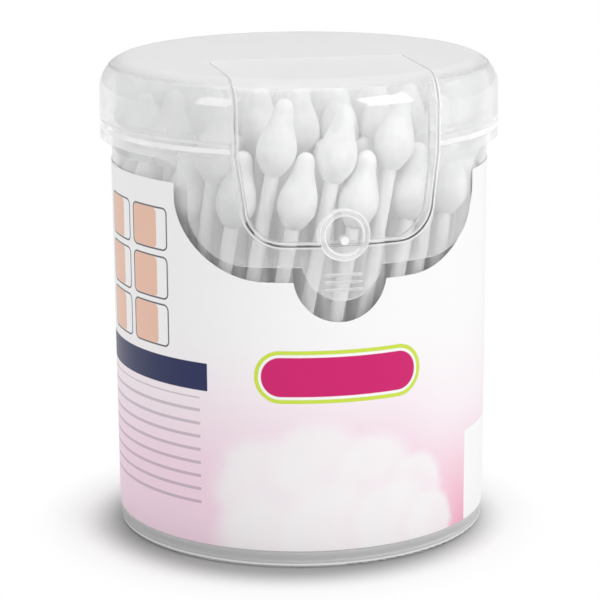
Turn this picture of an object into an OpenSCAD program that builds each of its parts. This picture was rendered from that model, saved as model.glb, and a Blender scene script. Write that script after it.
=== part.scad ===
// Cotton swab tub: a clear cup with a wrap label, a press-on cap with a front
// bib and push tab, a flip door hinged in the cap, and a sheaf of cotton swabs.
// The origin is at the middle of the foot, +Z is up and the door faces -Y.
// Sizes are in millimetres.

/* [Swabs] */
// How many swabs the tub is packed with
swab_count = 100; // [50:1:100]
// Length of one swab from end to end
swab_l = 72; // [68:0.5:80]
// Diameter of the paper stick
stick_d = 2.5; // [2:0.1:2.8]
// Largest diameter of a cotton tip
bulb_d = 6.9; // [6:0.1:7]
// Diameter of a cotton tip's nose
nose_d = 3.5; // [3:0.1:3.8]
// Length of a cotton tip
tip_l = 14; // [13:0.1:15]
// Distance from the end of a tip to its widest place
bulb_at = 9.4; // [9:0.1:10]
// How far the stick reaches into its cotton
grip_l = 8; // [5:0.5:9]
// Pairs of a low and a high swab in the outer ring
ring_pairs = 17; // [12:1:17]
// How much higher every second swab of the core stands
core_lift = 9.4; // [9.2:0.1:10]
// How much higher every second swab of the outer ring stands, at least
ring_lift = 7.2; // [7:0.1:8]
// How unevenly the swabs' ends lie in height
unevenness = 0.8; // [0:0.1:1]
// Sideways slope of the outer ring for each millimetre of its radius
ring_twist = 0.007; // [0.006:0.0005:0.009]
// Room left between two swabs, and between a swab and the tub
swab_gap = 0.1; // [0.03:0.01:0.15]

/* [Tub] */
// Outer diameter of the tub at its shoulder
tub_d = 68; // [67.8:0.1:90]
// How much narrower the tub is at its foot
tub_taper = 0.6; // [0:0.1:1]
// Wall thickness of the tub
tub_wall = 1; // [0.8:0.05:1]
// Thickness of the tub's floor
floor_t = 1.2; // [0.8:0.1:2]
// Height of the foot ring under the floor
foot_h = 0.8; // [0.4:0.1:2]
// Width of the foot ring
foot_w = 2.2; // [2:0.1:6]
// Radius of the tub's bottom edge
foot_round = 0.6; // [0.3:0.1:1.5]
// How far the neck steps in from the body
neck_step = 1; // [0.6:0.1:1]
// Radius of the snap bead round the neck
bead_r = 0.5; // [0.3:0.05:0.6]
// Height of the bead's middle above the shoulder
bead_up = 2.7; // [2.3:0.1:5]

/* [Label] */
// Thickness of the label film
label_t = 0.12; // [0.06:0.01:0.2]
// Height of the clear band under the label
label_low = 3.2; // [2:0.1:10]
// Depth of the clear band over the label
label_high = 5.4; // [3:0.1:8]
// Width of the gap where the label's ends meet at the back
label_seam = 0.6; // [0.3:0.1:2]
// How far the label's window reaches past the bib at each side
window_side = 1.6; // [1:0.1:3]
// How far the label's window reaches below the bib
window_low = 3; // [1:0.1:4]
// Corner radius of the label's window
window_round = 13.8; // [8:0.1:14]
// How far the label's notch reaches past the push tab at each side
notch_side = 1.2; // [0.8:0.1:3]
// How far the label's notch reaches below the push tab
notch_low = 4.2; // [2:0.1:6]

/* [Cap] */
// Wall thickness of the cap and the door
cap_wall = 1; // [0.8:0.1:1.2]
// Gap between the cap's skirt and the tub's body
skirt_gap = 1; // [0.8:0.1:2]
// Radius of the cap's rounded shoulder
cap_round = 5.5; // [4:0.1:7]
// Height of the cap's skirt, from its top
skirt_h = 14; // [12:0.1:16]
// How far the skirt reaches below the tub's shoulder
skirt_cover = 0.9; // [0.5:0.1:2]
// Space over the highest cotton tip
headroom = 1.4; // [0.5:0.1:4]
// Gap between the tub's rim and the cap's shoulder, which rests over it
rim_gap = 0.3; // [0.2:0.05:0.6]
// Height of the snap rib inside the skirt
rib_h = 0.6; // [0.4:0.1:1]
// Gap between the snap rib and the tub's bead
snap_gap = 0.12; // [0.08:0.01:0.3]
// Width of the front bib
bib_w = 50; // [46:0.5:54]
// How far the bib hangs below the skirt
bib_h = 17.5; // [16:0.5:20]
// Radius of the bib's lower corners
bib_round = 9; // [7:0.5:10]
// Radius where the bib's sides flare into the skirt
bib_flare = 5; // [2:0.5:5]
// Radius of the push tab
tab_r = 7; // [5:0.5:8]
// How far the middle of the push tab's arc lies above the bib's edge
tab_rise = 1.1; // [0.5:0.1:3]
// Height of the thinner strip along the bib's edge, of which the tab is part
thin_h = 1.3; // [0.5:0.1:3]
// How much thinner that strip and the tab are than the cap
thin_step = 0.25; // [0.1:0.05:0.4]

/* [Flip door] */
// Width of the door's opening at the top of the cap
door_w = 35.6; // [30:0.2:38]
// How much narrower the opening is above its lower corners
door_taper = 2.2; // [0:0.1:4]
// Height of the bib's strip under the opening
strip_h = 3.6; // [3:0.1:6]
// Radius of the opening's lower corners
door_round = 6.5; // [5:0.5:8]
// Width of the slot round the door
slot_w = 0.4; // [0.3:0.05:0.8]
// How far the hinge line lies in front of the middle of the cap
hinge_y = 6; // [2:0.5:12]
// Thickness left at the hinge line
hinge_t = 0.3; // [0.2:0.05:0.5]
// Width of the cut along the hinge line
hinge_cut = 0.12; // [0.1:0.01:0.3]
// Radius of the catch button
button_r = 4.4; // [3.6:0.1:5]
// How far the catch button's ring stands out of the door
button_out = 0.8; // [0.6:0.1:1]
// Width of the catch button's ring
button_ring = 1; // [0.6:0.1:1.4]
// Radius of the plate inside the catch button's ring
button_plate = 2.5; // [1.5:0.1:2.7]
// Radius of the pip on the catch button's plate
button_pip = 0.75; // [0.4:0.05:1]
// How far the pip lies below the middle of the catch button
pip_down = 0.9; // [0:0.1:1]
// How far the middle of the catch button lies above the door's edge
button_up = 1.6; // [1:0.1:3]
// How far the tub's finger notch stays inside the opening
finger_side = 1.2; // [0.8:0.1:4]
// How far the bottom of the finger notch lies above the opening's edge
finger_up = 0.4; // [0:0.1:6]

/* [Hidden] */
$fn = 96;

clear = [0.93, 0.94, 0.95, 0.45];
past = 1;               // how far a cutter reaches past what it cuts
label_gap = 0.03;       // between the tub and its label
stick_gap = 0.02;       // between a stick and its cotton
button_gap = 0.15;      // between the catch button and the bib's strip
inner_round = 1;        // radius of the tub's inner bottom edge

// Radii
tub_r = tub_d / 2;
foot_r = tub_r - tub_taper / 2;
neck_r = tub_r - neck_step;
mouth_r = neck_r - tub_wall;
cap_r = tub_r + skirt_gap + cap_wall;
bulb_r = bulb_d / 2;
nose_r = nose_d / 2;
stick_r = stick_d / 2;

// Heights, from the foot up
floor_z = foot_h + floor_t;
seat_z = floor_z + swab_gap;
ceiling_z = seat_z + core_lift + swab_l + headroom;
top_z = ceiling_z + cap_wall;
skirt_z = top_z - skirt_h;
shoulder_z = skirt_z + skirt_cover;
bead_z = shoulder_z + bead_up;
bib_z = skirt_z - bib_h;
tab_z = bib_z + tab_rise;
opening_z = bib_z + strip_h;
door_z = opening_z + slot_w;
button_z = door_z + button_up;
label_z0 = label_low;
label_z1 = shoulder_z - label_high;

// The tub's rim ends just under the hollow of the cap's rounded shoulder
hollow_round = cap_round - cap_wall;
rim_in = max(0, neck_r - (cap_r - cap_round));
rim_z = ceiling_z - hollow_round - rim_gap
    + sqrt(pow(hollow_round, 2) - pow(min(rim_in, hollow_round), 2));

// Outer radius of the tub's tapered body at height z
function body_r(z) = foot_r + (tub_r - foot_r) * (z - foot_round) / (shoulder_z - foot_round);

// A cotton tip as pairs of distance from its end and radius: a blunt nose, a
// long swell to the bulb and a shorter fall to the stick
tip_profile = [
    [0, 0.6 * nose_r],
    [1.8, nose_r],
    [3.4, nose_r],
    [bulb_at - 1.8, 0.95 * bulb_r],
    [bulb_at - 0.5, bulb_r],
    [bulb_at + 0.6, bulb_r],
    [tip_l, stick_r + 0.15]
];

// Radius of a swab at distance s from its lower end, nothing past its ends
function swab_r(s) =
    s < 0 || s > swab_l ? -bulb_d
        : min(s, swab_l - s) > tip_l ? stick_r
        : lookup(min(s, swab_l - s), tip_profile);

// The sheaf. A site is [x, y, twist, lift]: the swab passes through [x, y] at
// the height of the sheaf's waist and leans round the axis of the tub.
waist_z = seat_z + (swab_l + core_lift) / 2;
bulb_far = (swab_l + core_lift) / 2 - bulb_at;
ring_swell = sqrt(1 + pow(ring_twist * bulb_far, 2));
low_r = (body_r(seat_z + bulb_at) - tub_wall - bulb_r - swab_gap) / ring_swell;
high_r = (mouth_r - bulb_r - swab_gap) / ring_swell;
ring_n = 2 * ring_pairs;
ring_sites = [for (i = [0 : ring_n - 1])
    let (high = i % 2, r = high == 1 ? high_r : low_r, a = 360 * i / ring_n)
    [
        r * sin(a), -r * cos(a), ring_twist,
        high * ring_lift + unevenness * (high == 1 ? 2 + 1.2 * sin(97 * i) : 0.4 + 0.4 * sin(61 * i))
    ]];

// Where the line of a site crosses height z
function line_at(site, z) =
    [site[0] - site[2] * (z - waist_z) * site[1], site[1] + site[2] * (z - waist_z) * site[0]];

// Room between two swabs at height z, measured across their lines
function room_at(a, b, z) =
    norm(line_at(a, z) - line_at(b, z)) * cos(atan(max(a[2], b[2]) * high_r))
        - swab_r(z - seat_z - a[3]) - swab_r(z - seat_z - b[3]);

// Heights where two neighbours come closest: their bulbs and between them
near_zs = [for (k = [0 : 0.05 : 1.1], z = [seat_z + bulb_at, seat_z + swab_l - bulb_at])
    z + k * core_lift];

function fits(site) =
    min([for (r = ring_sites, z = near_zs) room_at(site, r, z)]) >= swab_gap / 2;

// The core is a square lattice of low swabs, with a high one in each square
core_pitch = bulb_d + swab_gap / 2;
core_n = ceil(low_r / core_pitch);
core_sites = [for (high = [0, 1], j = [-core_n : core_n], i = [-core_n : core_n])
    let (site = [
        (i + high / 2) * core_pitch, (j + high / 2) * core_pitch, 0,
        high * (core_lift + unevenness * (0.4 + 0.4 * sin(83 * i + 47 * j)))
    ])
    if (norm([site[0], site[1]]) < high_r && fits(site)) site];
core_used = min(len(core_sites), swab_count - ring_n);
sites = concat(ring_sites, [for (k = [0 : 1 : core_used - 1]) core_sites[k]]);

// Stands its children, drawn from the origin up, on the line of one swab
module on_swab(site) {
    foot = line_at(site, seat_z + site[3]);
    translate([foot[0], foot[1], seat_z + site[3]])
        rotate([-atan(site[2] * norm([site[0], site[1]])), 0, atan2(site[1], site[0])])
            children();
}

// One cotton tip, its nose at the origin, bored for the end of its stick
module cotton_tip() {
    bore_r = stick_r + stick_gap;
    rotate_extrude($fn = 24)
        polygon(concat(
            [[0, 0]],
            [for (p = tip_profile) [p[1], p[0]]],
            [[bore_r, tip_l], [bore_r, tip_l - grip_l], [0, tip_l - grip_l]]
        ));
}

module paper_sticks() {
    stick_z = tip_l - grip_l + stick_gap;
    color("white")
        for (site = sites)
            on_swab(site)
                translate([0, 0, stick_z])
                    cylinder(r = stick_r, h = swab_l - 2 * stick_z, $fn = 24);
}

module cotton_tips() {
    color("whitesmoke")
        for (site = sites)
            on_swab(site) {
                cotton_tip();
                translate([0, 0, swab_l])
                    mirror([0, 0, 1])
                        cotton_tip();
            }
}

// Carries an outline drawn in x and height through the front, from depth y0 out
module through_front(y0) {
    translate([0, -y0, 0])
        rotate([90, 0, 0])
            linear_extrude(height = cap_r + past - y0)
                children();
}

// Outline that is open at the top, with round lower corners: w wide at height
// z1 and above, w - taper wide over its corners
module hung_outline(w, taper, z0, z1, r) {
    low_x = (w - taper) / 2;
    polygon([
        [-low_x + r, z0], [low_x - r, z0], [low_x, z0 + r], [w / 2, z1],
        [w / 2, top_z + past], [-w / 2, top_z + past], [-w / 2, z1], [-low_x, z0 + r]
    ]);
    for (side = [-1, 1])
        translate([side * (low_x - r), z0 + r])
            circle(r);
}

// Half section of the tub's outside
module tub_outside() {
    square([foot_r - foot_round, foot_round + past]);
    intersection() {
        translate([foot_r - foot_round, foot_round])
            circle(foot_round);
        square([foot_r + past, foot_round + past]);
    }
    polygon([
        [0, foot_round], [foot_r, foot_round], [tub_r, shoulder_z - neck_step / 2],
        [tub_r - neck_step / 2, shoulder_z], [0, shoulder_z]
    ]);
    square([neck_r, rim_z]);
    polygon([
        [mouth_r, bead_z - 1.5 * bead_r], [neck_r, bead_z - 1.5 * bead_r],
        [neck_r + bead_r, bead_z - 0.5 * bead_r], [neck_r + bead_r, bead_z + 0.5 * bead_r],
        [neck_r, bead_z + 2 * bead_r], [mouth_r, bead_z + 2 * bead_r]
    ]);
}

// Half section of the tub's hollow
module tub_hollow() {
    r0 = foot_r - tub_wall;
    translate([0, floor_z])
        square([r0 - inner_round, inner_round + past]);
    intersection() {
        translate([r0 - inner_round, floor_z + inner_round])
            circle(inner_round);
        translate([0, floor_z])
            square([r0 + past, inner_round + past]);
    }
    polygon([
        [0, floor_z + inner_round], [r0, floor_z + inner_round],
        [tub_r - tub_wall, shoulder_z - 3 * neck_step],
        [mouth_r, shoulder_z - neck_step], [mouth_r, rim_z + past], [0, rim_z + past]
    ]);
}

// The tub: body, neck with its bead, raised floor, foot ring and finger notch
module tub() {
    color(clear)
        difference() {
            rotate_extrude()
                difference() {
                    tub_outside();
                    tub_hollow();
                    translate([0, -past])
                        square([foot_r - foot_round - foot_w, foot_h + past]);
                }
            through_front(0)
                hung_outline(
                    door_w - 2 * finger_side, door_taper, opening_z + finger_up,
                    shoulder_z, door_round
                );
        }
}

// The wrap label: a film sleeve with a window round the bib and a notch round
// the push tab, its ends butted at the back
module label() {
    r0 = body_r(label_z0) + label_gap;
    r1 = body_r(label_z1) + label_gap;
    notch_r = tab_r + notch_side;
    color("lavenderblush")
        difference() {
            rotate_extrude()
                polygon([
                    [r0, label_z0], [r0 + label_t, label_z0],
                    [r1 + label_t, label_z1], [r1, label_z1]
                ]);
            through_front(0) {
                hung_outline(
                    bib_w + 2 * window_side, 0, bib_z - window_low, label_z1, window_round
                );
                translate([0, tab_z - tab_r - notch_low + notch_r])
                    circle(notch_r);
            }
            translate([-label_seam / 2, 0, 0])
                cube([label_seam, cap_r, top_z]);
        }
}

// Half section of a domed cylinder with a round shoulder
module dome_section(r, z0, z1, shoulder) {
    translate([0, z0])
        square([r, z1 - shoulder - z0]);
    translate([0, z0])
        square([r - shoulder, z1 - z0]);
    translate([r - shoulder, z1 - shoulder])
        circle(shoulder);
}

// The thin shell that the cap and the door are cut from, down to height z0
module shell(z0) {
    rotate_extrude()
        difference() {
            dome_section(cap_r, z0, top_z, cap_round);
            dome_section(cap_r - cap_wall, z0 - past, ceiling_z, hollow_round);
        }
}

// The snap rib inside the skirt, which sits under the tub's bead
module snap_rib() {
    rib_r = neck_r + bead_r + snap_gap;
    rib_z = bead_z - 1.5 * bead_r - rib_h;
    deep = cap_r - cap_wall - rib_r;
    rotate_extrude()
        polygon([
            [rib_r, rib_z], [rib_r, rib_z + rib_h], [rib_r + deep, rib_z + rib_h + deep / 2],
            [rib_r + deep + cap_wall / 2, rib_z + rib_h + deep / 2],
            [rib_r + deep + cap_wall / 2, rib_z - deep / 2], [rib_r + deep, rib_z - deep / 2]
        ]);
}

// What is pared off the outside of the bib's edge and the push tab
module thin_strip(z0) {
    rotate_extrude()
        polygon([
            [cap_r - thin_step, z0], [cap_r + past, z0], [cap_r + past, bib_z + thin_h],
            [cap_r - thin_step, bib_z + thin_h]
        ]);
}

// Outline of the bib with its flared sides and the push tab
module bib_outline() {
    flare_x = bib_w / 2 + bib_flare;
    hung_outline(bib_w, 0, bib_z, skirt_z, bib_round);
    translate([0, tab_z])
        circle(tab_r);
    difference() {
        translate([-flare_x, skirt_z - bib_flare])
            square([2 * flare_x, bib_flare + past]);
        for (side = [-1, 1])
            translate([side * flare_x, skirt_z - bib_flare])
                circle(bib_flare);
    }
}

// Outline of the door's opening, drawn in by a margin all round
module opening_outline(margin) {
    hung_outline(
        door_w - 2 * margin, door_taper, opening_z + margin, shoulder_z, door_round - margin
    );
}

// Groove under the hinge line, which leaves only its thin upper edge
module hinge_groove() {
    half = hinge_cut / 2;
    deep = cap_wall - hinge_t;
    rotate([90, 0, 90])
        linear_extrude(height = cap_r * 2, center = true)
            polygon([
                [-hinge_y - half, top_z + past], [-hinge_y - half, top_z - hinge_t],
                [-hinge_y - half - deep - past, ceiling_z - past],
                [-hinge_y + half + deep + past, ceiling_z - past],
                [-hinge_y + half, top_z - hinge_t], [-hinge_y + half, top_z + past]
            ]);
}

// The cap: top, skirt with its snap rib, bib and push tab round the opening
module cap() {
    tab_end = tab_z - tab_r - past;
    color(clear)
        difference() {
            union() {
                shell(tab_end);
                snap_rib();
            }
            difference() {
                translate([0, 0, tab_end - past])
                    cylinder(r = cap_r + past, h = skirt_z - tab_end + past);
                through_front(0)
                    bib_outline();
            }
            thin_strip(tab_end - past);
            difference() {
                through_front(0)
                    opening_outline(0);
                translate([-cap_r, -hinge_y + hinge_cut / 2, 0])
                    cube([2 * cap_r, cap_r, 2 * top_z]);
            }
            intersection() {
                hinge_groove();
                translate([-door_w / 2, -cap_r, 0])
                    cube([door_w, 2 * cap_r, 2 * top_z]);
            }
        }
}

// The catch button: a ring round a sunk plate with a pip, standing out of the
// door and reaching down over the bib's strip
module catch_button() {
    deep = button_out - button_gap;
    translate([0, -cap_r - button_out, button_z])
        rotate([-90, 0, 0])
            difference() {
                cylinder(r = button_r, h = button_out + cap_wall / 2, $fn = 48);
                difference() {
                    translate([0, 0, -past])
                        cylinder(r = button_r - button_ring, h = past + deep / 2, $fn = 48);
                    translate([0, 0, deep / 4])
                        cylinder(r = button_plate, h = deep, $fn = 48);
                    translate([0, pip_down, -2 * past])
                        cylinder(r = button_pip, h = 3 * past, $fn = 24);
                }
            }
}

// The door: the panel that fills the opening less the slot, with its button
module flip_door() {
    color(clear)
        difference() {
            union() {
                intersection() {
                    shell(door_z - past);
                    through_front(hinge_y)
                        opening_outline(slot_w);
                }
                catch_button();
            }
            hinge_groove();
            translate([-button_r - past, -cap_r - button_gap, door_z - button_r - past])
                cube([2 * (button_r + past), cap_r, button_r + past]);
        }
}

tub();
label();
paper_sticks();
cotton_tips();
cap();
flip_door();
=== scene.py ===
"""Cotton swab tub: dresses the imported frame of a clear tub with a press-on cap,
a flip door, a printed wrap label and a sheaf of one hundred cotton swabs.
"""

import logging
import math
from dataclasses import dataclass, field
from enum import Enum

import bpy
import numpy as np
from mathutils import Matrix, Vector


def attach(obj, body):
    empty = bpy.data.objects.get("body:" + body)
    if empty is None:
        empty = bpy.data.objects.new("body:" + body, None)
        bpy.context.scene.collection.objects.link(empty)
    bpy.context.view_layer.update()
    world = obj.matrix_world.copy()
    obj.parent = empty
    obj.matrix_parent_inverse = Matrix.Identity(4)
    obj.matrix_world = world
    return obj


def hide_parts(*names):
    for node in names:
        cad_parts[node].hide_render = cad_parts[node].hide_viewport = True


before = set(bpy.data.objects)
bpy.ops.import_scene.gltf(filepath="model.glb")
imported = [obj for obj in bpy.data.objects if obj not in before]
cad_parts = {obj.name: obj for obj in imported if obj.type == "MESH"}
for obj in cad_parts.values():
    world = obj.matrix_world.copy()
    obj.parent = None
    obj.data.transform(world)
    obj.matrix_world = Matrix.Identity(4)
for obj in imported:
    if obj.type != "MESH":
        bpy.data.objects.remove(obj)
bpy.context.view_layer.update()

logging.basicConfig(level=logging.INFO, format="%(message)s")
log = logging.getLogger("swab_tub")

MM = 0.001
Socket = bpy.types.NodeSocket
Value = Socket | float
Axes = tuple[Socket, Socket, Socket]
Colour = tuple[float, float, float, float]
Spot = tuple[float, float]
Span = tuple[float, float]
Point = tuple[float, float, float]


class Form(Enum):
    """Which way a clear shell's wall faces, from which its cut edges are told."""

    CAP = "a skirt with a round shoulder under a flat top"
    CUP = "an upright wall round a floor"


# Meshes


def add_object(name: str, mesh: bpy.types.Mesh) -> bpy.types.Object:
    """Links a mesh into the scene as an object at the origin.

    Args:
        name: the piece's name.
        mesh: its mesh, already in place.

    Returns:
        The new object.
    """
    obj = bpy.data.objects.new(name, mesh)
    bpy.context.scene.collection.objects.link(obj)
    return obj


def mesh_from_arrays(
    name: str, points: np.ndarray, quads: np.ndarray, tris: np.ndarray, smooth: bool = True
) -> bpy.types.Mesh:
    """Fills a mesh from arrays of points, four-sided and three-sided faces.

    Args:
        name: the mesh's name.
        points: N by 3 coordinates in metres.
        quads: indices, four to a row.
        tris: indices, three to a row.
        smooth: whether faces are shaded smooth.

    Returns:
        The mesh.
    """
    mesh = bpy.data.meshes.new(name)
    loops = np.concatenate([quads.ravel(), tris.ravel()]).astype(np.int32)
    totals = np.concatenate([np.full(len(quads), 4), np.full(len(tris), 3)]).astype(np.int32)
    starts = np.concatenate([[0], np.cumsum(totals)[:-1]]).astype(np.int32)
    mesh.vertices.add(len(points))
    mesh.vertices.foreach_set("co", points.astype(np.float32).ravel())
    mesh.loops.add(len(loops))
    mesh.loops.foreach_set("vertex_index", loops)
    mesh.polygons.add(len(totals))
    mesh.polygons.foreach_set("loop_start", starts)
    mesh.polygons.foreach_set("use_smooth", np.full(len(totals), smooth))
    mesh.update(calc_edges=True)
    mesh.validate()
    return mesh


def capped_tube(rows: int, columns: int, copies: int) -> tuple[np.ndarray, np.ndarray]:
    """Lists the faces of tubes of rings, each closed by a pole at either end.

    A tube's points are its rings, one after the other, then its two poles.

    Args:
        rows: rings in each tube.
        columns: points round each ring.
        copies: how many tubes follow one another in the points.

    Returns:
        Indices of the four-sided and of the three-sided faces.
    """
    per = rows * columns + 2
    row, col = np.meshgrid(np.arange(rows - 1), np.arange(columns), indexing="ij")
    here, near = row * columns + col, row * columns + (col + 1) % columns
    quad = np.stack([here, near, near + columns, here + columns], axis=-1).reshape(-1, 4)
    first = np.arange(columns)
    after = (first + 1) % columns
    last = (rows - 1) * columns
    tri = np.concatenate([
        np.stack([np.full(columns, per - 2), after, first], axis=1),
        np.stack([np.full(columns, per - 1), last + first, last + after], axis=1),
    ])
    shift = (np.arange(copies) * per)[:, None, None]
    return (quad[None] + shift).reshape(-1, 4), (tri[None] + shift).reshape(-1, 3)


def islands(obj: bpy.types.Object) -> list[np.ndarray]:
    """Splits a mesh of loose triangles into its separate solids.

    Corners within a micrometre count as one point. Each point takes the lowest
    label found on its triangles, over and over, until no label changes.

    Args:
        obj: the object whose mesh is read.

    Returns:
        One array of points for each solid, in metres.
    """
    mesh = obj.data
    co = np.empty(len(mesh.vertices) * 3, dtype=np.float32)
    mesh.vertices.foreach_get("co", co)
    mesh.calc_loop_triangles()
    tri = np.empty(len(mesh.loop_triangles) * 3, dtype=np.int32)
    mesh.loop_triangles.foreach_get("vertices", tri)
    keys, merged = np.unique(np.round(co.reshape(-1, 3) * 1e6), axis=0, return_inverse=True)
    tri = merged.ravel()[tri].reshape(-1, 3)
    label = np.arange(len(keys))
    while True:
        low = label[tri].min(axis=1)
        new = label.copy()
        for corner in range(3):
            np.minimum.at(new, tri[:, corner], low)
        if np.array_equal(new, label):
            break
        label = new
    points = keys * 1e-6
    return [points[label == k] for k in np.unique(label)]


def dress(node: str, material: bpy.types.Material) -> None:
    """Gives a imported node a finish, in all of its material slots.

    Args:
        node: the node's name.
        material: the finish.
    """
    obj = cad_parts[node]
    if not obj.material_slots:
        obj.data.materials.append(material)
    for slot in obj.material_slots:
        slot.material = material
    log.info("%s: finish %s", node, material.name)


# Shading


def grey(level: float) -> Colour:
    """Returns a plain grey."""
    return level, level, level, 1.0


class Shader:
    """A material's node tree, with short calls for the maths of a pattern."""

    def __init__(self, name: str) -> None:
        """Starts an empty material.

        Args:
            name: the material's name.
        """
        self.material = bpy.data.materials.new(name)
        self.material.use_nodes = True
        self.tree = self.material.node_tree
        self.tree.nodes.clear()
        self.output = self.node("ShaderNodeOutputMaterial")

    def node(self, kind: str, **values: object) -> bpy.types.Node:
        """Adds a node.

        Args:
            kind: Blender's name for the node's type.
            values: properties to set on it.

        Returns:
            The node.
        """
        new = self.tree.nodes.new(kind)
        for key, value in values.items():
            setattr(new, key, value)
        return new

    def feed(self, socket: Socket, value: Value | tuple) -> None:
        """Links a socket to another, or sets its plain value.

        Args:
            socket: the input.
            value: the output to link it to, or a number, vector or colour.
        """
        if isinstance(value, Socket):
            self.tree.links.new(value, socket)
        else:
            socket.default_value = value

    def fed(self, kind: str, **values: object) -> Socket:
        """Adds a node and feeds its inputs.

        Args:
            kind: Blender's name for the node's type.
            values: its inputs, with underscores for the spaces in their names.

        Returns:
            The node's first output.
        """
        new = self.node(kind)
        for key, value in values.items():
            self.feed(new.inputs[key.replace("_", " ")], value)
        return new.outputs[0]

    def math(self, kind: str, a: Value, b: Value = 0.0) -> Socket:
        """Adds one Math node.

        Args:
            kind: its operation.
            a: the first value.
            b: the second value, where the operation has one.

        Returns:
            The result.
        """
        new = self.node("ShaderNodeMath", operation=kind)
        for socket, value in zip(new.inputs, (a, b)):
            self.feed(socket, value)
        return new.outputs[0]

    def plus(self, a: Value, b: Value) -> Socket:
        """Returns a plus b."""
        return self.math("ADD", a, b)

    def less(self, a: Value, b: Value) -> Socket:
        """Returns a less b."""
        return self.math("SUBTRACT", a, b)

    def times(self, a: Value, b: Value) -> Socket:
        """Returns a times b."""
        return self.math("MULTIPLY", a, b)

    def most(self, a: Value, b: Value) -> Socket:
        """Returns the greater of a and b."""
        return self.math("MAXIMUM", a, b)

    def off(self, value: Socket, middle: float) -> Socket:
        """Returns how far a value lies from a middle one, to either side."""
        return self.math("ABSOLUTE", self.less(value, middle))

    def length(self, a: Socket, b: Socket) -> Socket:
        """Returns the square root of the sum of the squares of two values."""
        return self.math("SQRT", self.plus(self.times(a, a), self.times(b, b)))

    def remap(self, value: Socket, low: float, high: float, start: float, end: float, way: str) -> Socket:
        """Maps low..high onto start..end, held flat outside.

        Args:
            value: what is mapped.
            low: the value that gives start.
            high: the value that gives end.
            start: the result at low.
            end: the result at high.
            way: Blender's name for the way from start to end.

        Returns:
            The result.
        """
        new = self.node("ShaderNodeMapRange", interpolation_type=way)
        for key, number in (("From Min", low), ("From Max", high), ("To Min", start), ("To Max", end)):
            new.inputs[key].default_value = number
        self.feed(new.inputs["Value"], value)
        return new.outputs[0]

    def ramp(self, value: Socket, low: float, high: float, start: float = 0.0, end: float = 1.0) -> Socket:
        """Maps low..high smoothly onto start..end, held flat outside."""
        return self.remap(value, low, high, start, end, "SMOOTHSTEP")

    def ramp_mm(
        self, value: Socket, low: float, high: float, start: float = 0.0, end: float = 1.0
    ) -> Socket:
        """Ramps between two values in millimetres."""
        return self.ramp(value, low * MM, high * MM, start, end)

    def mix(self, share: Value, a: Socket | Colour, b: Socket | Colour) -> Socket:
        """Blends two colours.

        Args:
            share: the share of b.
            a: the first colour.
            b: the second colour.

        Returns:
            The blend.
        """
        new = self.node("ShaderNodeMix", data_type="RGBA")
        for key, value in (("Factor", share), ("A", a), ("B", b)):
            self.feed(new.inputs[key], value)
        return new.outputs["Result"]

    def blend(self, share: Socket, a: Socket, b: Socket) -> Socket:
        """Blends two shaders.

        Args:
            share: the share of b.
            a: the first shader.
            b: the second shader.

        Returns:
            The blend.
        """
        new = self.node("ShaderNodeMixShader")
        for socket, value in zip(new.inputs, (share, a, b)):
            self.feed(socket, value)
        return new.outputs[0]

    def noise(self, vector: Socket, scale: float, detail: float = 3.0, roughness: float = 0.5) -> Socket:
        """Adds Blender's fractal noise.

        Args:
            vector: where it is read.
            scale: features in a metre.
            detail: how many finer layers it has.
            roughness: how strong each finer layer is.

        Returns:
            The noise, about 0.5 on average.
        """
        return self.fed("ShaderNodeTexNoise", Vector=vector, Scale=scale, Detail=detail, Roughness=roughness)

    def place(self) -> Socket:
        """Returns the object coordinates, in metres in the part's frame."""
        return self.node("ShaderNodeTexCoord").outputs["Object"]

    def normal(self) -> Socket:
        """Returns the surface's own direction, in the part's frame."""
        return self.node("ShaderNodeTexCoord").outputs["Normal"]

    def split(self, vector: Socket) -> Axes:
        """Takes a vector apart into x, y and z."""
        return tuple(self.fed("ShaderNodeSeparateXYZ", Vector=vector).node.outputs)

    def stretched(self, vector: Socket, scale: Point) -> Socket:
        """Scales coordinates by a factor along each axis."""
        return self.fed("ShaderNodeMapping", Vector=vector, Scale=scale)

    def bump(self, height: Socket, strength: float, distance: float) -> Socket:
        """Bends the normal by a height field.

        Args:
            height: the field.
            strength: how much of the bend is kept.
            distance: what a height of 1 stands for, in millimetres.

        Returns:
            The bent normal.
        """
        return self.fed("ShaderNodeBump", Strength=strength, Distance=distance * MM, Height=height)

    def principled(self, **values: object) -> Socket:
        """Adds a Principled shader, with its inputs named as fed names them."""
        return self.fed("ShaderNodeBsdfPrincipled", **values)

    def finish(self, shader: Socket) -> bpy.types.Material:
        """Links the surface and returns the material."""
        self.tree.links.new(shader, self.output.inputs["Surface"])
        return self.material


# Clear plastic


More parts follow.
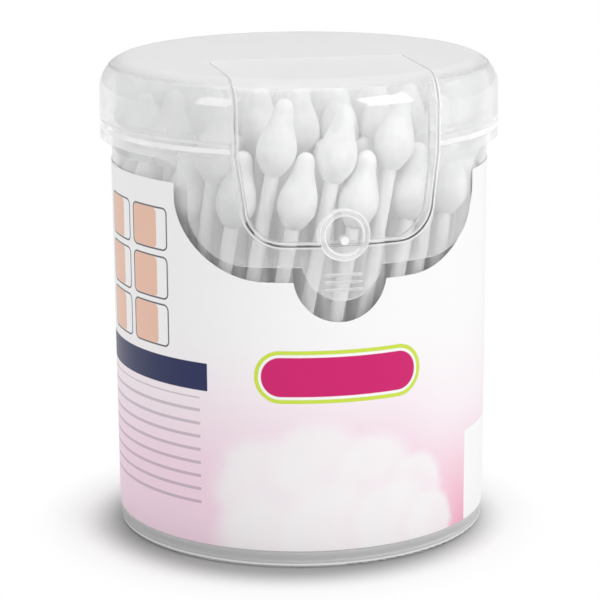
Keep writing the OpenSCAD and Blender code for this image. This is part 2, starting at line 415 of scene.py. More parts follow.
@dataclass(frozen=True)
class CatchButton:
    """The door's catch button, seen from the front, in millimetres.

    A ring stands on the door, with a pip under its middle. The ring is painted
    faintly milky, and its two rims and the pip are painted milky white as
    highlights. Over the span of its fade, a mark's milk falls to none: away from
    the ring's middle line, from each rim, and from the middle of the pip.
    """

    height: float
    radius: float = 4.4
    ring: float = 1.0
    ring_fade: Span = (0.45, 0.6)
    ring_milk: float = 0.34
    rim_fade: Span = (0.08, 0.24)
    highlight_milk: float = 0.85
    pip_down: float = 0.9
    pip_fade: Span = (0.65, 0.9)

    def away(self, s: Shader, at: Axes, down: float = 0.0) -> Socket:
        """Returns the distance from a point some way below the button's middle."""
        return s.length(at[0], s.less(at[2], (self.height - down) * MM))

    def milk(self, s: Shader, at: Axes) -> Socket:
        """Works out the milk of the ring, and of its two rims and the pip, which are painted highlights.

        Args:
            s: the material's tree.
            at: the place.

        Returns:
            The milk, 0 away from the button.
        """
        half = self.ring / 2
        off = s.off(self.away(s, at), (self.radius - half) * MM)
        ring = s.ramp_mm(off, *self.ring_fade, self.ring_milk, 0.0)
        # Painted highlight: the ring's two rims and the pip are made milky white.
        rims = s.ramp_mm(s.off(off, half * MM), *self.rim_fade, self.highlight_milk, 0.0)
        pip = s.ramp_mm(self.away(s, at, self.pip_down), *self.pip_fade, self.highlight_milk, 0.0)
        return s.most(ring, s.most(rims, pip))

    def clear_of(self, s: Shader, at: Axes) -> Socket:
        """Returns 1 outside of the button and 0 on it."""
        return s.math("GREATER_THAN", self.away(s, at), self.radius * MM)


@dataclass(frozen=True)
class DoorOutline:
    """The door's opening, seen from the front, in millimetres.

    Its sides lean out from the lower corners up to a height, then rise straight.
    Slot highlights and walls are how far two marks reach from the slot's middle: painted highlight lines on
    both sides of the slot, and painted shade on its walls.
    """

    half_width: float = 16.7
    lean: float = 1.1
    corner: float = 6.5
    low: float = 58.0
    high: float = 72.8
    slot: float = 0.4
    hinge_y: float = 6.1
    fade: float = 0.1
    slot_highlights: float = 0.55
    slot_highlight_milk: float = 0.6
    walls: float = 0.35
    shade_at_top: float = 0.12

    def near_slot(self, s: Shader, at: Axes, reach: float) -> Socket:
        """Marks the surface on both sides of the slot round the door.

        The distance from the outline is that from its corner circles' middle
        lines, less the corner's radius; the slot lies just inside of it.

        Args:
            s: the material's tree.
            at: the place.
            reach: how far from the slot's middle the mark reaches.

        Returns:
            1 near the slot and 0 away from it.
        """
        x, y, z = at
        start = (self.low + self.corner) * MM
        lean = s.remap(z, start, self.high * MM, 0.0, self.lean * MM, "LINEAR")
        inner = s.plus(lean, (self.half_width - self.corner) * MM)
        aside = s.most(s.less(s.math("ABSOLUTE", x), inner), 0.0)
        under = s.most(s.less(start, z), 0.0)
        from_slot = s.off(s.length(aside, under), (self.corner - self.slot / 2) * MM)
        near = s.ramp_mm(from_slot, reach - self.fade, reach + self.fade, 1.0, 0.0)
        return s.times(near, s.math("LESS_THAN", y, -self.hinge_y * MM))

    def shade(self, s: Shader, at: Axes) -> Socket:
        """Marks the slot's own walls, most of all low down, where least light falls.

        Args:
            s: the material's tree.
            at: the place.

        Returns:
            The share of shade.
        """
        lower = s.ramp_mm(at[2], self.low, self.high, 1.0, self.shade_at_top)
        return s.times(self.near_slot(s, at, self.walls), lower)


@dataclass(frozen=True)
class ClearPlastic:
    """Moulded clear plastic, faintly milky, with its cut edges painted milky white as a highlight.

    Lengths are in millimetres. On a cap the turn's radius and height are those
    of the round shoulder's middle line, and on a cup its radius is the floor's.
    Milk is the share of light that is scattered and doesn't pass. Frost is the
    milk of the flat top, and sets in over a span above the turn's height. Foot
    and neck have their own milk, and a thin fully milky line round the foot is
    a painted highlight.
    """

    name: str
    form: Form
    turn_radius: float
    turn_height: float
    milk: float
    edge_highlight_milk: float
    passes: float = 0.91
    frost: float = 0.0
    frost_span: Span = (3.6, 5.4)
    frost_roughness: float = 0.95
    foot_milk: float = 0.0
    foot_span: Span = (3.0, 4.0)
    foot_highlight_height: float = 0.7
    foot_highlight_fade: Span = (0.12, 0.26)
    neck_milk: float = 0.0
    neck_span: Span = (64.0, 70.0)
    opening: DoorOutline | None = None
    button: CatchButton | None = None
    tint: Colour = (0.985, 0.987, 0.99, 1.0)
    pale: Colour = grey(0.9)
    edge_highlight: Colour = grey(1.0)
    slot_shade: Colour = grey(0.16)
    frost_shade: Colour = grey(0.82)
    edge_span: Span = (0.45, 0.85)
    ior: float = 1.49
    roughness: float = 0.05
    wave_scale: float = 60.0
    wave_detail: float = 1.0
    wave_strength: float = 0.05
    wave_height: float = 0.4

    def wall_normal(self, s: Shader, at: Axes) -> Socket:
        """Works out the direction across the wall at a place.

        On a cap it is the unit vector from the nearest point of the shoulder's
        middle line: outwards on the skirt and upwards on the top. On a cup it
        is outwards on the wall and upwards on the floor.

        Args:
            s: the material's tree.
            at: the place.

        Returns:
            The unit vector.
        """
        x, y, z = at
        far = s.length(x, y)
        past = s.less(far, self.turn_radius * MM)
        if self.form is Form.CAP:
            out = s.math("DIVIDE", s.most(past, 0.0), far)
            up = s.most(s.less(z, self.turn_height * MM), 0.0)
        else:
            out = s.math("GREATER_THAN", past, 0.0)
            up = s.less(1.0, out)
        joined = s.node("ShaderNodeCombineXYZ")
        for socket, value in zip(joined.inputs, (s.times(x, out), s.times(y, out), up)):
            s.feed(socket, value)
        unit = s.node("ShaderNodeVectorMath", operation="NORMALIZE")
        s.feed(unit.inputs[0], joined.outputs[0])
        return unit.outputs[0]

    def edges(self, s: Shader, at: Axes) -> Socket:
        """Marks cut edges, where the surface's own normal lies across the wall's.

        Args:
            s: the material's tree.
            at: the place.

        Returns:
            1 on cut edges and 0 on the wall's two faces.
        """
        dot = s.node("ShaderNodeVectorMath", operation="DOT_PRODUCT")
        s.feed(dot.inputs[0], self.wall_normal(s, at))
        s.feed(dot.inputs[1], s.normal())
        return s.ramp(s.math("ABSOLUTE", dot.outputs["Value"]), *self.edge_span, 1.0, 0.0)

    def bands(self, s: Shader, z: Socket) -> Socket:
        """Works out the milk of the foot, of the painted highlight line round it, and of the neck.

        Args:
            s: the material's tree.
            z: height.

        Returns:
            The milk, 0 between them.
        """
        foot = s.ramp_mm(z, *self.foot_span, self.foot_milk, 0.0)
        if self.foot_milk > 0:
            # Painted highlight: a thin line round the foot is made fully milky.
            from_foot_highlight = s.off(z, self.foot_highlight_height * MM)
            foot = s.most(foot, s.ramp_mm(from_foot_highlight, *self.foot_highlight_fade, 1.0, 0.0))
        return s.most(foot, s.ramp_mm(z, *self.neck_span, 0.0, self.neck_milk))

    def door_marks(self, s: Shader, at: Axes) -> Socket:
        """Works out the milk of the button and of the painted highlight lines on both sides of the slot.

        Args:
            s: the material's tree.
            at: the place.

        Returns:
            The milk, 0 away from them.
        """
        front = s.math("LESS_THAN", at[1], -self.turn_radius * MM)
        button = s.times(self.button.milk(s, at), front)
        # Painted highlight: milky lines on both sides of the slot, kept off the button.
        slot_highlights = s.times(self.opening.near_slot(s, at, self.opening.slot_highlights), self.button.clear_of(s, at))
        return s.most(button, s.times(slot_highlights, self.opening.slot_highlight_milk))

    def material(self) -> bpy.types.Material:
        """Builds the material.

        Returns:
            A clear shell with slow waves in its surface. Shadow rays go almost
            straight through, as light does through a thin wall.
        """
        s = Shader(self.name)
        place = s.place()
        at = s.split(place)
        cut = self.edges(s, at)
        frost_low, frost_high = (self.turn_height + over for over in self.frost_span)
        top = s.ramp_mm(at[2], frost_low, frost_high, 0.0, self.frost)
        # Painted highlight: cut edges are made milky here and painted plain white further on.
        milk = s.most(self.milk, s.times(cut, self.edge_highlight_milk))
        milk = s.most(s.most(milk, top), self.bands(s, at[2]))
        if self.opening is not None:
            milk = s.most(milk, self.door_marks(s, at))
        colour = s.mix(top, s.mix(milk, self.tint, self.pale), self.frost_shade)
        # Painted highlight: cut edges are painted plain white.
        colour = s.mix(cut, colour, self.edge_highlight)
        if self.opening is not None:
            colour = s.mix(s.times(cut, self.opening.shade(s, at)), colour, self.slot_shade)
        waves = s.noise(place, self.wave_scale, self.wave_detail)
        body = s.principled(
            Base_Color=colour,
            Transmission_Weight=s.less(1.0, milk),
            IOR=self.ior,
            Roughness=s.plus(s.times(top, self.frost_roughness), self.roughness),
            Normal=s.bump(waves, self.wave_strength, self.wave_height),
        )
        through = s.fed("ShaderNodeBsdfTransparent", Color=grey(self.passes))
        shadow = s.node("ShaderNodeLightPath").outputs["Is Shadow Ray"]
        return s.finish(s.blend(shadow, body, through))


# Cotton and paper


@dataclass(frozen=True)
class WoundCotton:
    """Soft white cotton, wound on in fine fibres round the stick.

    Scales are features in a metre, and the relief's height is in millimetres.
    """

    name: str = "wound_cotton"
    colour: Colour = (0.95, 0.95, 0.945, 1.0)
    shade: Colour = (0.86, 0.865, 0.87, 1.0)
    fibre_stretch: Point = (1.0, 1.0, 5.0)
    fibre_scale: float = 900.0
    fibre_detail: float = 5.0
    fibre_roughness: float = 0.65
    fibre_share: float = 0.45
    lump_scale: float = 420.0
    hollow_span: Span = (0.3, 0.6)
    relief: float = 0.55
    relief_height: float = 0.4

    def material(self) -> bpy.types.Material:
        """Builds the material: fibre bump, faint shade in the hollows, a soft sheen.

        Returns:
            The cotton material.
        """
        s = Shader(self.name)
        place = s.place()
        wound = s.stretched(place, self.fibre_stretch)
        fibres = s.noise(wound, self.fibre_scale, self.fibre_detail, self.fibre_roughness)
        lumps = s.noise(place, self.lump_scale)
        height = s.plus(s.times(fibres, self.fibre_share), lumps)
        return s.finish(s.principled(
            Base_Color=s.mix(s.ramp(lumps, *self.hollow_span), self.shade, self.colour),
            Roughness=0.92,
            Specular_IOR_Level=0.15,
            Sheen_Weight=0.35,
            Sheen_Roughness=0.6,
            Subsurface_Weight=0.35,
            Subsurface_Radius=(0.0015, 0.0014, 0.0013),
            Subsurface_Scale=1.0,
            Normal=s.bump(height, self.relief, self.relief_height),
        ))


@dataclass(frozen=True)
class RolledPaper:
    """Matte white paper, rolled tight into sticks, with a faint grain.

    Scales are features in a metre, and the relief's height is in millimetres.
    """

    name: str = "rolled_paper"
    colour: Colour = (0.93, 0.93, 0.92, 1.0)
    shade: Colour = (0.85, 0.845, 0.835, 1.0)
    grain_stretch: Point = (1.0, 1.0, 0.12)
    grain_scale: float = 1500.0
    streak_span: Span = (0.35, 0.65)
    fine_scale: float = 3000.0
    fine_detail: float = 2.0
    fine_share: float = 0.3
    relief: float = 0.25
    relief_height: float = 0.1

    def material(self) -> bpy.types.Material:
        """Builds the material: long faint streaks along the sticks.

        Returns:
            The paper material.
        """
        s = Shader(self.name)
        place = s.place()
        grain = s.noise(s.stretched(place, self.grain_stretch), self.grain_scale)
        fine = s.noise(place, self.fine_scale, self.fine_detail)
        height = s.plus(grain, s.times(fine, self.fine_share))
        return s.finish(s.principled(
            Base_Color=s.mix(s.ramp(grain, *self.streak_span), self.shade, self.colour),
            Roughness=0.75,
            Specular_IOR_Level=0.3,
            Normal=s.bump(height, self.relief, self.relief_height),
        ))


# The label's print


@dataclass(frozen=True)
class Disc:
    """A disc with a soft edge: its middle, radius, and the edge's fade to either side."""

    middle: Spot
    radius: float
    soft: float

    def shadow(self, shift: Spot, grow: float) -> "Disc":
        """Returns the disc moved aside and grown, with a softer edge."""
        middle = (self.middle[0] + shift[0], self.middle[1] + shift[1])
        return Disc(middle, self.radius + grow, self.soft + grow)


@dataclass(frozen=True)
class Box:
    """A box with round corners: its lower left, its upper right and their radius."""

    low: Spot
    high: Spot
    round: float

    def inset(self, by: float) -> "Box":
        """Returns the box drawn in by a length on all sides."""
        low, high = (self.low[0] + by, self.low[1] + by), (self.high[0] - by, self.high[1] - by)
        return Box(low, high, self.round - by)


@dataclass(frozen=True)
class Sheet:
    """The label laid flat, on which shapes are marked, in millimetres.

    A place on it is the arc round the tub from its front, to the right
    positive, and the height.
    """

    s: Shader
    arc: Socket
    height: Socket
    edge: float = 0.08

    def disc(self, disc: Disc) -> Socket:
        """Returns 1 inside a disc and 0 outside, over its soft edge."""
        far = self.s.length(self.s.less(self.arc, disc.middle[0]), self.s.less(self.height, disc.middle[1]))
        return self.s.ramp(far, disc.radius - disc.soft, disc.radius + disc.soft, 1.0, 0.0)

    def box(self, box: Box) -> Socket:
        """Marks a box with round corners.

        The distance is that from the box drawn in by its corners' radius, less
        that radius.

        Args:
            box: where it lies.

        Returns:
            1 inside and 0 outside.
        """
        s, far = self.s, []
        for value, a, b in zip((self.arc, self.height), box.low, box.high):
            far.append(s.most(s.less(s.off(value, (a + b) / 2), (b - a) / 2 - box.round), 0.0))
        return s.ramp(s.length(*far), box.round - self.edge, box.round + self.edge, 1.0, 0.0)


@dataclass(frozen=True)
class PrintedFilm:
    """The label's print: fields of colour and simple shapes on satin film.

    Places are as on the sheet, in millimetres. A span in arc or height is where
    a field of colour sets in or falls off.
    """

    name: str = "printed_film"
    radius: float = 34.0
    white: Colour = (0.9, 0.895, 0.9, 1.0)
    inside: Colour = grey(0.97)
    blush: Colour = (0.865, 0.655, 0.76, 1.0)
    blush_height: Span = (12.0, 44.0)
    blush_side: Span = (8.0, 24.0)
    blush_back: Span = (60.0, 100.0)
    side_less: float = 0.45
    rose: Colour = (0.84, 0.33, 0.47, 1.0)
    rose_height: Span = (-4.0, 27.0)
    rose_from: Span = (6.0, 26.0)
    rose_to: Span = (34.0, 60.0)
    puff: Colour = (0.88, 0.87, 0.875, 1.0)
    puffs: tuple[Disc, ...] = (
        Disc((-13.0, 14.0), 9.5, 2.6),
        Disc((-4.0, 18.0), 8.5, 2.4),
        Disc((6.0, 16.5), 7.5, 2.0),
        Disc((-14.0, 5.0), 8.0, 2.6),
        Disc((-2.0, 6.0), 9.5, 2.2),
        Disc((14.5, 13.0), 6.0, 1.2),
        Disc((10.0, 7.0), 8.0, 1.6),
        Disc((18.0, 6.0), 5.5, 1.0),
    )
    puff_share: float = 0.85
    shadow_share: float = 0.3
    shadow_shift: Spot = (0.8, -0.6)
    shadow_grow: float = 1.2
    drift: float = 3.2
    drift_scale: float = 220.0
    drift_roughness: float = 0.6
    skin: Colour = (0.82, 0.52, 0.40, 1.0)
    ink: Colour = (0.09, 0.09, 0.11, 1.0)
    picture_lefts: tuple[float, ...] = (-53.4, -42.2)
    picture_lows: tuple[float, ...] = (55.0, 46.3, 37.8)
    picture_size: Spot = (10.0, 7.7)
    picture_round: float = 1.2
    picture_line: float = 0.3
    picture_fill: float = 6.9
    navy: Colour = (0.012, 0.018, 0.085, 1.0)
    band: Box = Box((-64.0, 31.2), (-24.0, 36.2), 0.2)
    lines: Box = Box((-62.0, 9.0), (-25.6, 30.0), 0.1)
    line_pitch: float = 2.4
    line_fade: Span = (0.09, 0.14)
    line_share: float = 0.35
    capsule: Box = Box((-15.2, 30.0), (15.2, 39.4), 4.6)
    capsule_insets: Point = (0.0, 0.7, 1.2)
    lime: Colour = (0.58, 0.72, 0.06, 1.0)
    magenta: Colour = (0.60, 0.004, 0.14, 1.0)
    white_box: Box = Box((28.6, 3.0), (46.0, 20.0), 0.3)

    def material(self) -> bpy.types.Material:
        """Builds the material.

        Returns:
            The film, printed on its outer side and plain white inside.
        """
        s = Shader(self.name)
        x, y, z = s.split(s.place())
        arc = s.times(s.math("ARCTAN2", x, s.times(y, -1.0)), self.radius)
        sheet = Sheet(s, arc, s.math("DIVIDE", z, MM))
        colour = self.ground(sheet)
        for paint in (self.bank, self.pictures, self.notes, self.badge):
            colour = paint(sheet, colour)
        nx, ny, _ = s.split(s.normal())
        outward = s.plus(s.times(x, nx), s.times(y, ny))
        colour = s.mix(s.math("GREATER_THAN", outward, 0.0), self.inside, colour)
        return s.finish(s.principled(
            Base_Color=colour,
            Roughness=0.42,
            Specular_IOR_Level=0.3,
            Coat_Weight=0.08,
            Coat_Roughness=0.2,
        ))

    def ground(self, sheet: Sheet) -> Socket:
        """Paints the pale ground: blush below, and rose low on the right.

        The blush is less at the side than in front and at the back.

        Args:
            sheet: the label laid flat.

        Returns:
            The colour.
        """
        s, arc, height = sheet.s, sheet.arc, sheet.height
        side = s.ramp(arc, *self.blush_side, 1.0, 1.0 - self.side_less)
        aside = s.plus(side, s.ramp(arc, *self.blush_back, 0.0, self.side_less))
        blush = s.times(s.ramp(height, *self.blush_height, 1.0, 0.0), aside)
        low_right = s.times(s.ramp(height, *self.rose_height, 1.0, 0.0), s.ramp(arc, *self.rose_from))
        rose = s.times(low_right, s.ramp(arc, *self.rose_to, 1.0, 0.0))
        return s.mix(rose, s.mix(blush, self.white, self.blush), self.rose)

    def bank(self, sheet: Sheet, colour: Socket) -> Socket:
        """Paints a bank of soft cotton puffs, each over its own faint shadow.

        Args:
            sheet: the label laid flat.
            colour: what lies under it.

        Returns:
            The colour.
        """
        s = sheet.s
        wander = s.noise(s.place(), self.drift_scale, roughness=self.drift_roughness)
        drift = s.times(s.less(wander, 0.5), self.drift)
        wavy = Sheet(s, s.plus(sheet.arc, drift), s.less(sheet.height, drift))
        for puff in self.puffs:
            shadow = wavy.disc(puff.shadow(self.shadow_shift, self.shadow_grow))
            colour = s.mix(s.times(shadow, self.shadow_share), colour, self.blush)
            colour = s.mix(s.times(wavy.disc(puff), self.puff_share), colour, self.puff)
        return colour

    def pictures(self, sheet: Sheet, colour: Socket) -> Socket:
        """Paints the side panel's empty picture boxes, outlined and part filled.

        Args:
            sheet: the label laid flat.
            colour: what lies under them.

        Returns:
            The colour.
        """
        wide, high = self.picture_size
        for left in self.picture_lefts:
            for low in self.picture_lows:
                outer = Box((left, low), (left + wide, low + high), self.picture_round)
                inner = outer.inset(self.picture_line)
                part = Box(inner.low, (inner.low[0] + self.picture_fill, inner.high[1]), inner.round)
                for box, paint in ((outer, self.ink), (inner, self.white), (part, self.skin)):
                    colour = sheet.s.mix(sheet.box(box), colour, paint)
        return colour

    def notes(self, sheet: Sheet, colour: Socket) -> Socket:
        """Paints the side panel's dark band and the block of fine lines under it.

        Args:
            sheet: the label laid flat.
            colour: what lies under them.

        Returns:
            The colour.
        """
        s = sheet.s
        colour = s.mix(sheet.box(self.band), colour, self.navy)
        step = s.math("FRACT", s.math("DIVIDE", sheet.height, self.line_pitch))
        line = s.ramp(s.off(step, 0.5), *self.line_fade, 1.0, 0.0)
        return s.mix(s.times(s.times(line, sheet.box(self.lines)), self.line_share), colour, self.navy)

    def badge(self, sheet: Sheet, colour: Socket) -> Socket:
        """Paints a plain capsule with two rims, and the empty white box at the right.

        Args:
            sheet: the label laid flat.
            colour: what lies under them.

        Returns:
            The colour.
        """
        for by, paint in zip(self.capsule_insets, (self.lime, self.white, self.magenta)):
            colour = sheet.s.mix(sheet.box(self.capsule.inset(by)), colour, paint)
        return sheet.s.mix(sheet.box(self.white_box), colour, self.white)


# The object's own sub-assemblies


@dataclass
class SwabSheaf:
    """The hundred swabs: paper sticks with a cotton tip wound on each end.

    Lengths are in millimetres, radii too. A tip's outline is given as stations,
    each a distance from the nose and a share: of the nose's radius, then of the
    way from it to the bulb's, then of the bulb's radius, and last of the way
    down from it to the stick's. A wave is its depth, its crests round the tip
    and how far it turns in a millimetre.
    """

    tip_length: float = 14.0
    grip: float = 8.02
    bulb_radius: float = 3.45
    nose_radius: float = 1.75
    stick_radius: float = 1.25
    nose: tuple[Spot, ...] = ((0.0, 0.0), (0.12, 0.34), (0.5, 0.66), (1.1, 0.86), (2.0, 0.97))
    swell: tuple[Spot, ...] = ((3.2, 0.04), (4.6, 0.26), (6.0, 0.58), (7.4, 0.86))
    bulb: tuple[Spot, ...] = ((8.6, 0.985), (9.6, 1.0), (10.6, 0.955), (11.6, 0.82))
    fall: tuple[Spot, ...] = ((12.6, 0.42), (13.4, 0.16))
    end_swell: float = 1.04
    waves: tuple[Point, ...] = ((0.008, 2.0, 0.5), (0.006, 3.0, -0.8), (0.006, 0.0, 1.1))
    seed: int = 11
    ring_beyond: float = 26.0
    outer_grid: tuple[int, int] = (20, 20)
    core_grid: tuple[int, int] = (9, 10)
    starts: np.ndarray = field(default_factory=lambda: np.zeros((0, 3)))
    ends: np.ndarray = field(default_factory=lambda: np.zeros((0, 3)))

    def find_sticks(self) -> None:
        """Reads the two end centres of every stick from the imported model.

        Each solid's corners are parted at their mean height, and the middle of
        each half's box is the centre of that end.
        """
        starts, ends = [], []
        for points in islands(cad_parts["paper_sticks"]):
            upper = points[:, 2] > points[:, 2].mean()
            halves = [points[~upper], points[upper]]
            centres = [(half.min(axis=0) + half.max(axis=0)) / 2 for half in halves]
            starts.append(centres[0])
            ends.append(centres[1])
        self.starts, self.ends = np.array(starts), np.array(ends)

    def profile(self, rows: int) -> tuple[np.ndarray, np.ndarray]:
        """Works out the outline of a tip, from its nose to the stick.

        The outline runs straight from station to station, and its points lie
        at even steps along it.

        Args:
            rows: how many points the outline has.

        Returns:
            Distances from the nose and radii, both in millimetres.
        """
        b, n, t = self.bulb_radius, self.nose_radius, self.stick_radius
        stations = [(s, share * n) for s, share in self.nose]
        stations += [(s, n + share * (b - n)) for s, share in self.swell]
        stations += [(s, share * b) for s, share in self.bulb]
        stations += [(s, t + share * (b - t)) for s, share in self.fall]
        stations.append((self.tip_length, t * self.end_swell))
        key_s, key_r = np.array(stations).T
        walk = np.concatenate([[0.0], np.cumsum(np.hypot(np.diff(key_s), np.diff(key_r)))])
        at = np.linspace(0.0, walk[-1], rows)
        return np.interp(at, walk, key_s), np.interp(at, walk, key_r)

    def tips(self, name: str, chosen: np.ndarray, rows: int, columns: int) -> bpy.types.Object:
        """Builds the cotton on both ends of the chosen sticks as one piece.

        Each tip is a grid of rows along its axis and columns round it. A point
        lies on the axis, at the row's distance from the nose, plus a radius
        along a direction that turns once round. The radius is the profile's
        times 1 plus the waves' sum, and a wave is its depth times the sine of
        three things added: its crests times the turn, a phase of the tip's own,
        and its turning times the distance from the nose.

        Args:
            name: the piece's name.
            chosen: which sticks, as indices.
            rows: rows of points between the two poles.
            columns: points round each row.

        Returns:
            The piece.
        """
        rng = np.random.default_rng(self.seed)
        a, b = self.starts[chosen], self.ends[chosen]
        up = (b - a) / np.linalg.norm(b - a, axis=1)[:, None]
        reach = (self.tip_length - self.grip) * MM
        noses = np.concatenate([a - up * reach, b + up * reach])
        along = np.concatenate([up, -up])
        side = np.cross(along, np.array([1.0, 0.0, 0.0]))
        side /= np.linalg.norm(side, axis=1)[:, None]
        other = np.cross(along, side)
        count = len(noses)
        s_mm, r_mm = (values[1:-1] for values in self.profile(rows + 2))
        turn = np.linspace(0.0, 2 * np.pi, columns, endpoint=False)
        phases = rng.uniform(0.0, 2 * np.pi, (len(self.waves), count, 1, 1))
        down = s_mm[None, :, None]
        wave = sum(
            depth * np.sin(crests * turn + phase + down * turning)
            for (depth, crests, turning), phase in zip(self.waves, phases)
        )
        r = r_mm[None, :, None] * (1.0 + wave)
        out = side[:, None, None, :] * np.cos(turn)[None, None, :, None]
        out = out + other[:, None, None, :] * np.sin(turn)[None, None, :, None]
        axis_points = noses[:, None, None, :] + along[:, None, None, :] * (s_mm * MM)[None, :, None, None]
        rings = axis_points + out * (r * MM)[..., None]
        ends = noses + along * (self.tip_length * MM)
        points = np.concatenate([rings.reshape(count, -1, 3), noses[:, None], ends[:, None]], axis=1)
        quads, tris = capped_tube(rows, columns, count)
        return add_object(name, mesh_from_arrays(name, points.reshape(-1, 3), quads, tris))

    def build(self) -> None:
        """Builds the tips, finer in the outer ring than in the core, and dresses the sheaf."""
        self.find_sticks()
        middle = (self.starts + self.ends) / 2
        radius = np.hypot(middle[:, 0], middle[:, 1]) / MM
        outer, inner = np.where(radius > self.ring_beyond)[0], np.where(radius <= self.ring_beyond)[0]
        cotton = WoundCotton().material()
        rings = (("outer_cotton", outer, self.outer_grid), ("core_cotton", inner, self.core_grid))
        for name, chosen, grid in rings:
            if len(chosen) == 0:
                continue
            piece = self.tips(name, chosen, *grid)
            piece.data.materials.append(cotton)
            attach(piece, "tub")
            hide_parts("cotton_tips")
            log.info("%s: %d swabs, %d faces", name, len(chosen), len(piece.data.polygons))
        dress("paper_sticks", RolledPaper().material())


@dataclass
class ClearShells:
    """The tub, the cap and the flip door, all of clear plastic.

    Lengths are in millimetres. The shoulder is where the cap's skirt starts to
    bend into its top, measured in from the cap's own box.
    """

    shoulder: float = 5.5
    floor_radius: float = 31.0
    button_radius: float = 4.4
    rib_heights: tuple[float, ...] = (50.4, 51.7, 53.0)
    rib_length: float = 7.0
    rib_radius: float = 0.28
    rib_bluntness: int = 8
    rib_grid: tuple[int, int] = (15, 10)
    tab_radius: float = 35.75

    def push_ribs(self, material: bpy.types.Material) -> None:
        """Adds short grip ribs across the push tab, bent round the cap.

        Each rib is a grid of rings along an arc. A ring's point is the arc's
        point plus the ring's radius times a direction that turns once round.
        That radius is the rib's times the square root of 1 less a high power
        of the share of the way from the rib's middle to its end. It is 0 at
        both ends, which are the poles.

        Args:
            material: the cap's plastic.
        """
        rings, around = self.rib_grid
        count = len(self.rib_heights)
        along = np.linspace(-1.0, 1.0, rings + 2)[:, None]
        angle = along * self.rib_length / 2 / self.tab_radius
        radius = self.rib_radius * np.sqrt(1.0 - np.abs(along) ** self.rib_bluntness)
        turn = np.linspace(0.0, 2 * np.pi, around, endpoint=False)
        up = np.array(self.rib_heights)[:, None, None] + radius * np.sin(turn)
        out = np.broadcast_to(self.tab_radius + radius * np.cos(turn), up.shape)
        grid = np.stack([out * np.sin(angle), -out * np.cos(angle), up], axis=-1) * MM
        points = np.concatenate([grid[:, 1:-1].reshape(count, -1, 3), grid[:, [0, -1], 0]], axis=1)
        quads, tris = capped_tube(rings, around, count)
        mesh = mesh_from_arrays("push_ribs", points.reshape(-1, 3), quads[:, ::-1], tris[:, ::-1])
        mesh.materials.append(material)
        piece = add_object("push_ribs", mesh)
        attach(piece, "cap")
        log.info("push_ribs: %d ribs, %d faces", count, len(mesh.polygons))

    def build(self) -> None:
        """Dresses the three shells and adds the grip ribs."""
        box = np.array([corner[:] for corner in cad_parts["cap"].bound_box]) / MM
        radius, top = box[:, 1].max(), box[:, 2].max()
        door_low = min(corner[2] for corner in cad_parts["flip_door"].bound_box) / MM
        tub = ClearPlastic(
            "clear_tub", Form.CUP, self.floor_radius, 0.0,
            milk=0.07, edge_highlight_milk=0.45, foot_milk=0.5, neck_milk=0.25, passes=0.94,
        )
        cap = ClearPlastic(
            "clear_cap", Form.CAP, radius - self.shoulder, top - self.shoulder,
            milk=0.19, edge_highlight_milk=0.82, frost=0.72, opening=DoorOutline(),
            button=CatchButton(door_low + self.button_radius, self.button_radius),
        )
        dress("tub", tub.material())
        cap_material = cap.material()
        dress("cap", cap_material)
        dress("flip_door", cap_material)
        self.push_ribs(cap_material)


@dataclass
class WrapLabel:
    """The printed film round the tub."""

    def build(self) -> None:
        """Dresses the label."""
        dress("label", PrintedFilm().material())


# The studio


@dataclass(frozen=True)
class Lamp:
    """A rectangular lamp that faces the tub, in metres and watts."""

    name: str
    at: Point
    size: Spot
    power: float
    aim: Point = (0.0, 0.0, 0.05)

    def hang(self) -> None:
        """Adds the lamp to the scene."""
        light = bpy.data.lights.new(self.name, "AREA")
        light.shape = "RECTANGLE"
        light.size, light.size_y = self.size
        light.energy = self.power
        obj = bpy.data.objects.new(self.name, light)
        bpy.context.scene.collection.objects.link(obj)
        obj.location = self.at
        toward = Vector(self.aim) - Vector(self.at)
        obj.rotation_euler = toward.to_track_quat("-Z", "Y").to_euler()


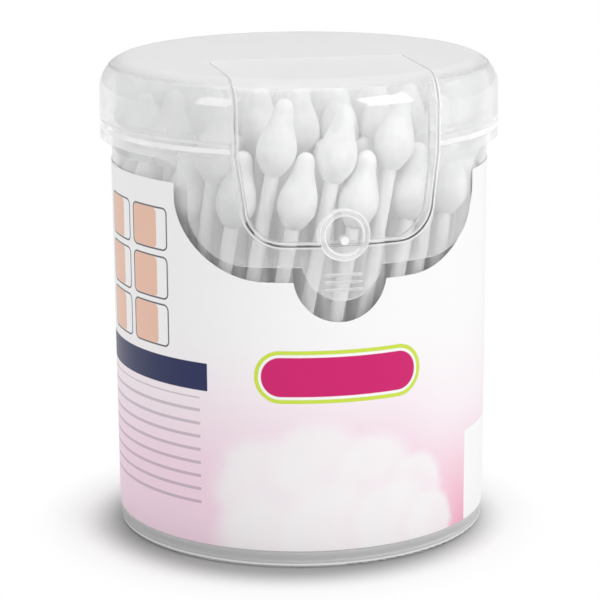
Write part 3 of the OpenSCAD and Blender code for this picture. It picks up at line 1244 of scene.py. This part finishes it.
@dataclass
class Studio:
    """Floor, world, lamps and camera, as in the photograph.

    Distances are in millimetres, but for the floor's half side and the lamps,
    which are in metres. The azimuth is in degrees, pitch and roll in radians.
    """

    distance: float = 440.0
    azimuth: float = -12.0
    height: float = 146.85
    pitch: float = 0.2378
    roll: float = -0.006
    lens: float = 147.2
    floor_half: float = 3.0
    shadow_shift: Spot = (2.5, 4.5)
    shadow_span: Span = (30.0, 50.0)
    # Painted shadow: the floor's colour darkens to this grey near the tub, over this span from a centre
    # moved left and forward.
    painted_shadow_span: Span = (30.0, 41.0)
    painted_shadow_colour: Colour = grey(0.42)
    floor_pale: Colour = grey(0.9)
    world_strength: float = 0.62
    lamps: tuple[Lamp, ...] = (
        Lamp("key", (0.6, -0.65, 0.6), (0.5, 0.5), 3.9),
        Lamp("fill", (-0.82, -0.42, 0.6), (0.4, 0.5), 1.5),
        Lamp("top", (0.0, 0.15, 0.9), (0.6, 0.6), 1.8),
    )

    def white_to_camera(self, s: Shader, shader: Socket, share: Socket) -> Socket:
        """Mixes plain white into what the camera and mirrors see of a surface.

        Args:
            s: the material's tree.
            shader: what lamps see.
            share: how much of the camera's view is plain white.

        Returns:
            The mixed shader.
        """
        path = s.node("ShaderNodeLightPath")
        seen = s.most(path.outputs["Is Camera Ray"], path.outputs["Is Glossy Ray"])
        seen = s.most(seen, path.outputs["Is Transmission Ray"])
        return s.blend(s.times(seen, share), shader, s.fed("ShaderNodeEmission"))

    def floor(self) -> None:
        """Lays a wide pale floor, its colour darkened round the tub's foot as a painted shadow under the
        real one, and white beyond.
        """
        half = self.floor_half
        corners = np.array([[-half, -half, 0], [half, -half, 0], [half, half, 0], [-half, half, 0]])
        mesh = mesh_from_arrays("studio_floor", corners, np.array([[0, 1, 2, 3]]), np.zeros((0, 3)), False)
        obj = add_object("studio_floor", mesh)
        s = Shader("studio_floor")
        x, y, _ = s.split(s.place())
        aside, ahead = self.shadow_shift
        away = s.length(s.plus(x, aside * MM), s.plus(y, ahead * MM))
        # Painted shadow: the floor's colour darkens towards the tub.
        out_of_painted_shadow = s.ramp_mm(away, *self.painted_shadow_span)
        matte = s.fed("ShaderNodeBsdfDiffuse", Color=s.mix(out_of_painted_shadow, self.painted_shadow_colour, self.floor_pale))
        share = s.ramp_mm(away, *self.shadow_span)
        mesh.materials.append(s.finish(self.white_to_camera(s, matte, share)))

    def world(self) -> None:
        """Fills the world with soft light, plain white to the camera."""
        world = bpy.data.worlds.new("studio")
        world.use_nodes = True
        nodes, links = world.node_tree.nodes, world.node_tree.links
        nodes.clear()
        out = nodes.new("ShaderNodeOutputWorld")
        both = nodes.new("ShaderNodeMixShader")
        for socket, strength in zip(both.inputs[1:], (self.world_strength, 1.0)):
            light = nodes.new("ShaderNodeBackground")
            light.inputs["Color"].default_value = grey(1.0)
            light.inputs["Strength"].default_value = strength
            links.new(light.outputs[0], socket)
        path = nodes.new("ShaderNodeLightPath")
        seen = nodes.new("ShaderNodeMath")
        seen.operation = "MAXIMUM"
        for socket, ray in zip(seen.inputs, ("Is Camera Ray", "Is Transmission Ray")):
            links.new(path.outputs[ray], socket)
        links.new(seen.outputs[0], both.inputs[0])
        links.new(both.outputs[0], out.inputs["Surface"])
        bpy.context.scene.world = world

    def camera(self) -> None:
        """Sets the camera at the photograph's place, turned as it was."""
        cam = bpy.data.cameras.new("camera")
        cam.lens = self.lens
        cam.sensor_width = 36.0
        cam.clip_start = 0.01
        obj = bpy.data.objects.new("camera", cam)
        bpy.context.scene.collection.objects.link(obj)
        a = math.radians(self.azimuth)
        at = Vector((math.sin(a), -math.cos(a), 0.0)) * self.distance * MM
        at.z = self.height * MM
        turn = (
            Matrix.Rotation(a, 4, "Z")
            @ Matrix.Rotation(math.pi / 2 - self.pitch, 4, "X")
            @ Matrix.Rotation(self.roll, 4, "Z")
        )
        obj.matrix_world = Matrix.Translation(at) @ turn
        bpy.context.scene.camera = obj

    def build(self) -> None:
        """Sets up the whole studio."""
        self.camera()
        self.world()
        self.floor()
        for lamp in self.lamps:
            lamp.hang()
        bpy.context.scene.view_settings.view_transform = "Standard"


def main() -> None:
    """Builds the studio, then the tub's sub-assemblies in order."""
    Studio().build()
    WrapLabel().build()
    SwabSheaf().build()
    ClearShells().build()


if __name__ == "__main__":
    main()
